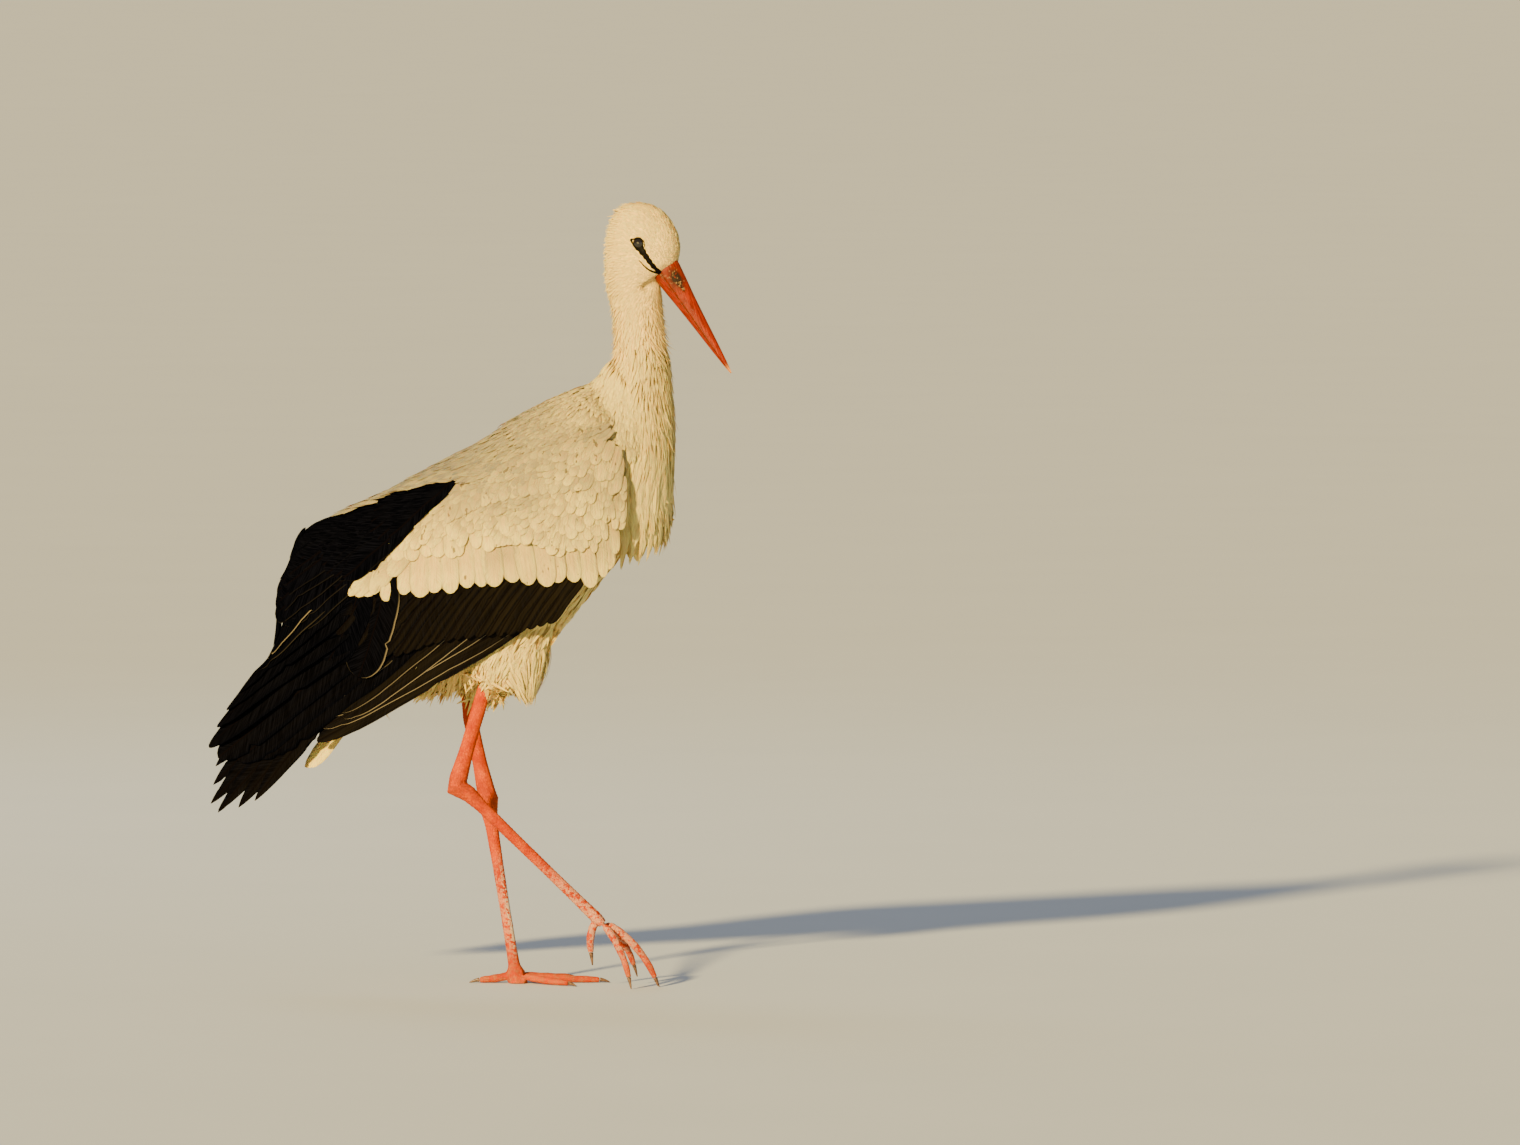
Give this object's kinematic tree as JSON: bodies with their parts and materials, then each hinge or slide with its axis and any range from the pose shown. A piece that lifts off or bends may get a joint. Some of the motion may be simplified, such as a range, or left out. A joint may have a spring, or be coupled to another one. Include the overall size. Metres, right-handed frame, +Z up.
{
  "type": "white stork",
  "caption": "Life-size white stork walking: white body, black flight feathers over the tail, long pointed red bill turned down and aside, long bare red legs, one foot reaching forward.",
  "frame": {"origin": "on the floor under the middle of the standing left foot's sole", "axes": "+X the way the bird walks, +Y to its left, +Z up"},
  "size_m": [0.5711, 0.1912, 0.8612],
  "materials": {
    "plumage_white": "cream-white feathers, soft and matt",
    "plumage_black": "brownish-black feathers with worn pale edges and a faint gloss",
    "bill": "orange-red horn, satin, darker at the base",
    "leg": "orange-red scaly skin with whitish staining",
    "claw": "dark brown horn",
    "eye": "dark, wet and glossy"
  },
  "bodies": {
    "root": {"bill_lower": "bill", "bill_upper": "bill", "breast_plumes": "plumage_white", "claw_hind_L": "claw", "claw_hind_R": "claw", "claw_inner_L": "claw", "claw_inner_R": "claw", "claw_middle_L": "claw", "claw_middle_R": "claw", "claw_outer_L": "claw", "claw_outer_R": "claw", "eye_L": "eye", "eye_R": "eye", "foot_L": "leg", "foot_R": "leg", "head": "plumage_white", "mantle": "plumage_white", "neck_lower": "plumage_white", "neck_upper": "plumage_white", "scapulars_L": "plumage_black", "scapulars_R": "plumage_black", "tail": "plumage_white", "tarsus_L": "leg", "tarsus_R": "leg", "thigh_L": "plumage_white", "thigh_R": "plumage_white", "tibia_L": "leg", "tibia_R": "leg", "toe_hind_L": "leg", "toe_hind_R": "leg", "toe_inner_L": "leg", "toe_inner_R": "leg", "toe_middle_L": "leg", "toe_middle_R": "leg", "toe_outer_L": "leg", "toe_outer_R": "leg", "trunk": "plumage_white", "wing_coverts_L": "plumage_white", "wing_coverts_R": "plumage_white", "wing_primaries_L": "plumage_black", "wing_primaries_R": "plumage_black", "wing_secondaries_L": "plumage_black", "wing_secondaries_R": "plumage_black", "wing_tertials_L": "plumage_black", "wing_tertials_R": "plumage_black"}
  },
  "joints": []
}
